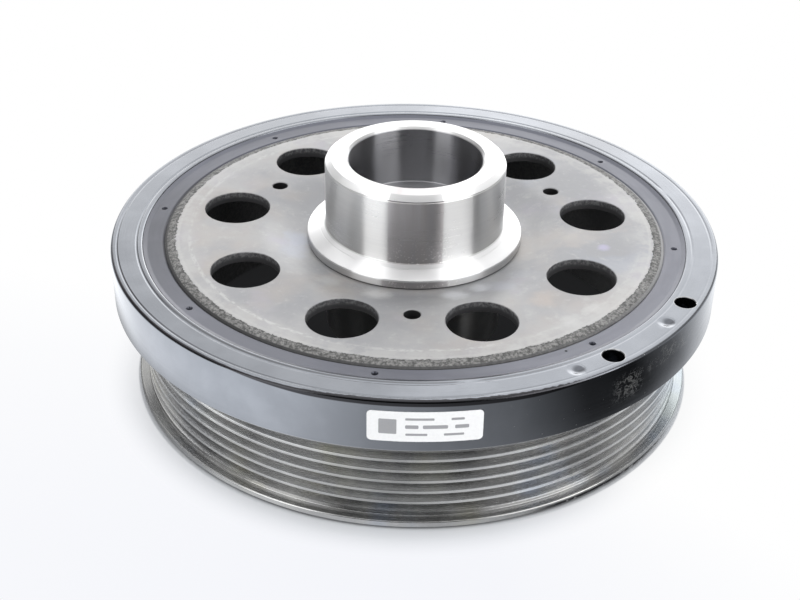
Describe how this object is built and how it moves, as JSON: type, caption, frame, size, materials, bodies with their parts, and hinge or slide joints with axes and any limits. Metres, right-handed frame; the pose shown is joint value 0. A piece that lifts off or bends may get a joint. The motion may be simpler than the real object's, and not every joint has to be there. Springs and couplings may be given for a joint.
{
  "type": "harmonic balancer",
  "caption": "Crankshaft pulley with ribbed belt grooves, a drawn steel hub disc, a machined sleeve, and an inertia ring bonded on by a rubber ring to damp torsional vibration.",
  "frame": {"origin": "on the crankshaft axis, in the plane of the pulley's open edge that the part stands on", "axes": "+Z along the crankshaft axis towards the sleeve's open end; the blank label is on the -Y side"},
  "size_m": [0.1826, 0.1827, 0.07],
  "materials": {
    "pulley_steel": "satin, turned",
    "disc_steel": "mottled, scuffed",
    "damper_rubber": "smooth, moulded",
    "ring_coating": "semi-gloss black coating on cast iron",
    "sleeve_steel": "fine turned, bright",
    "weld_steel": "rough, heat tinted",
    "label_film": "matt white film"
  },
  "bodies": {
    "root": {"belt_pulley": "pulley_steel", "hub_disc": "disc_steel", "damper_rubber": "damper_rubber", "inertia_ring": "ring_coating", "crank_sleeve": "sleeve_steel", "hub_weld": "weld_steel", "blank_label": "label_film"}
  },
  "joints": []
}
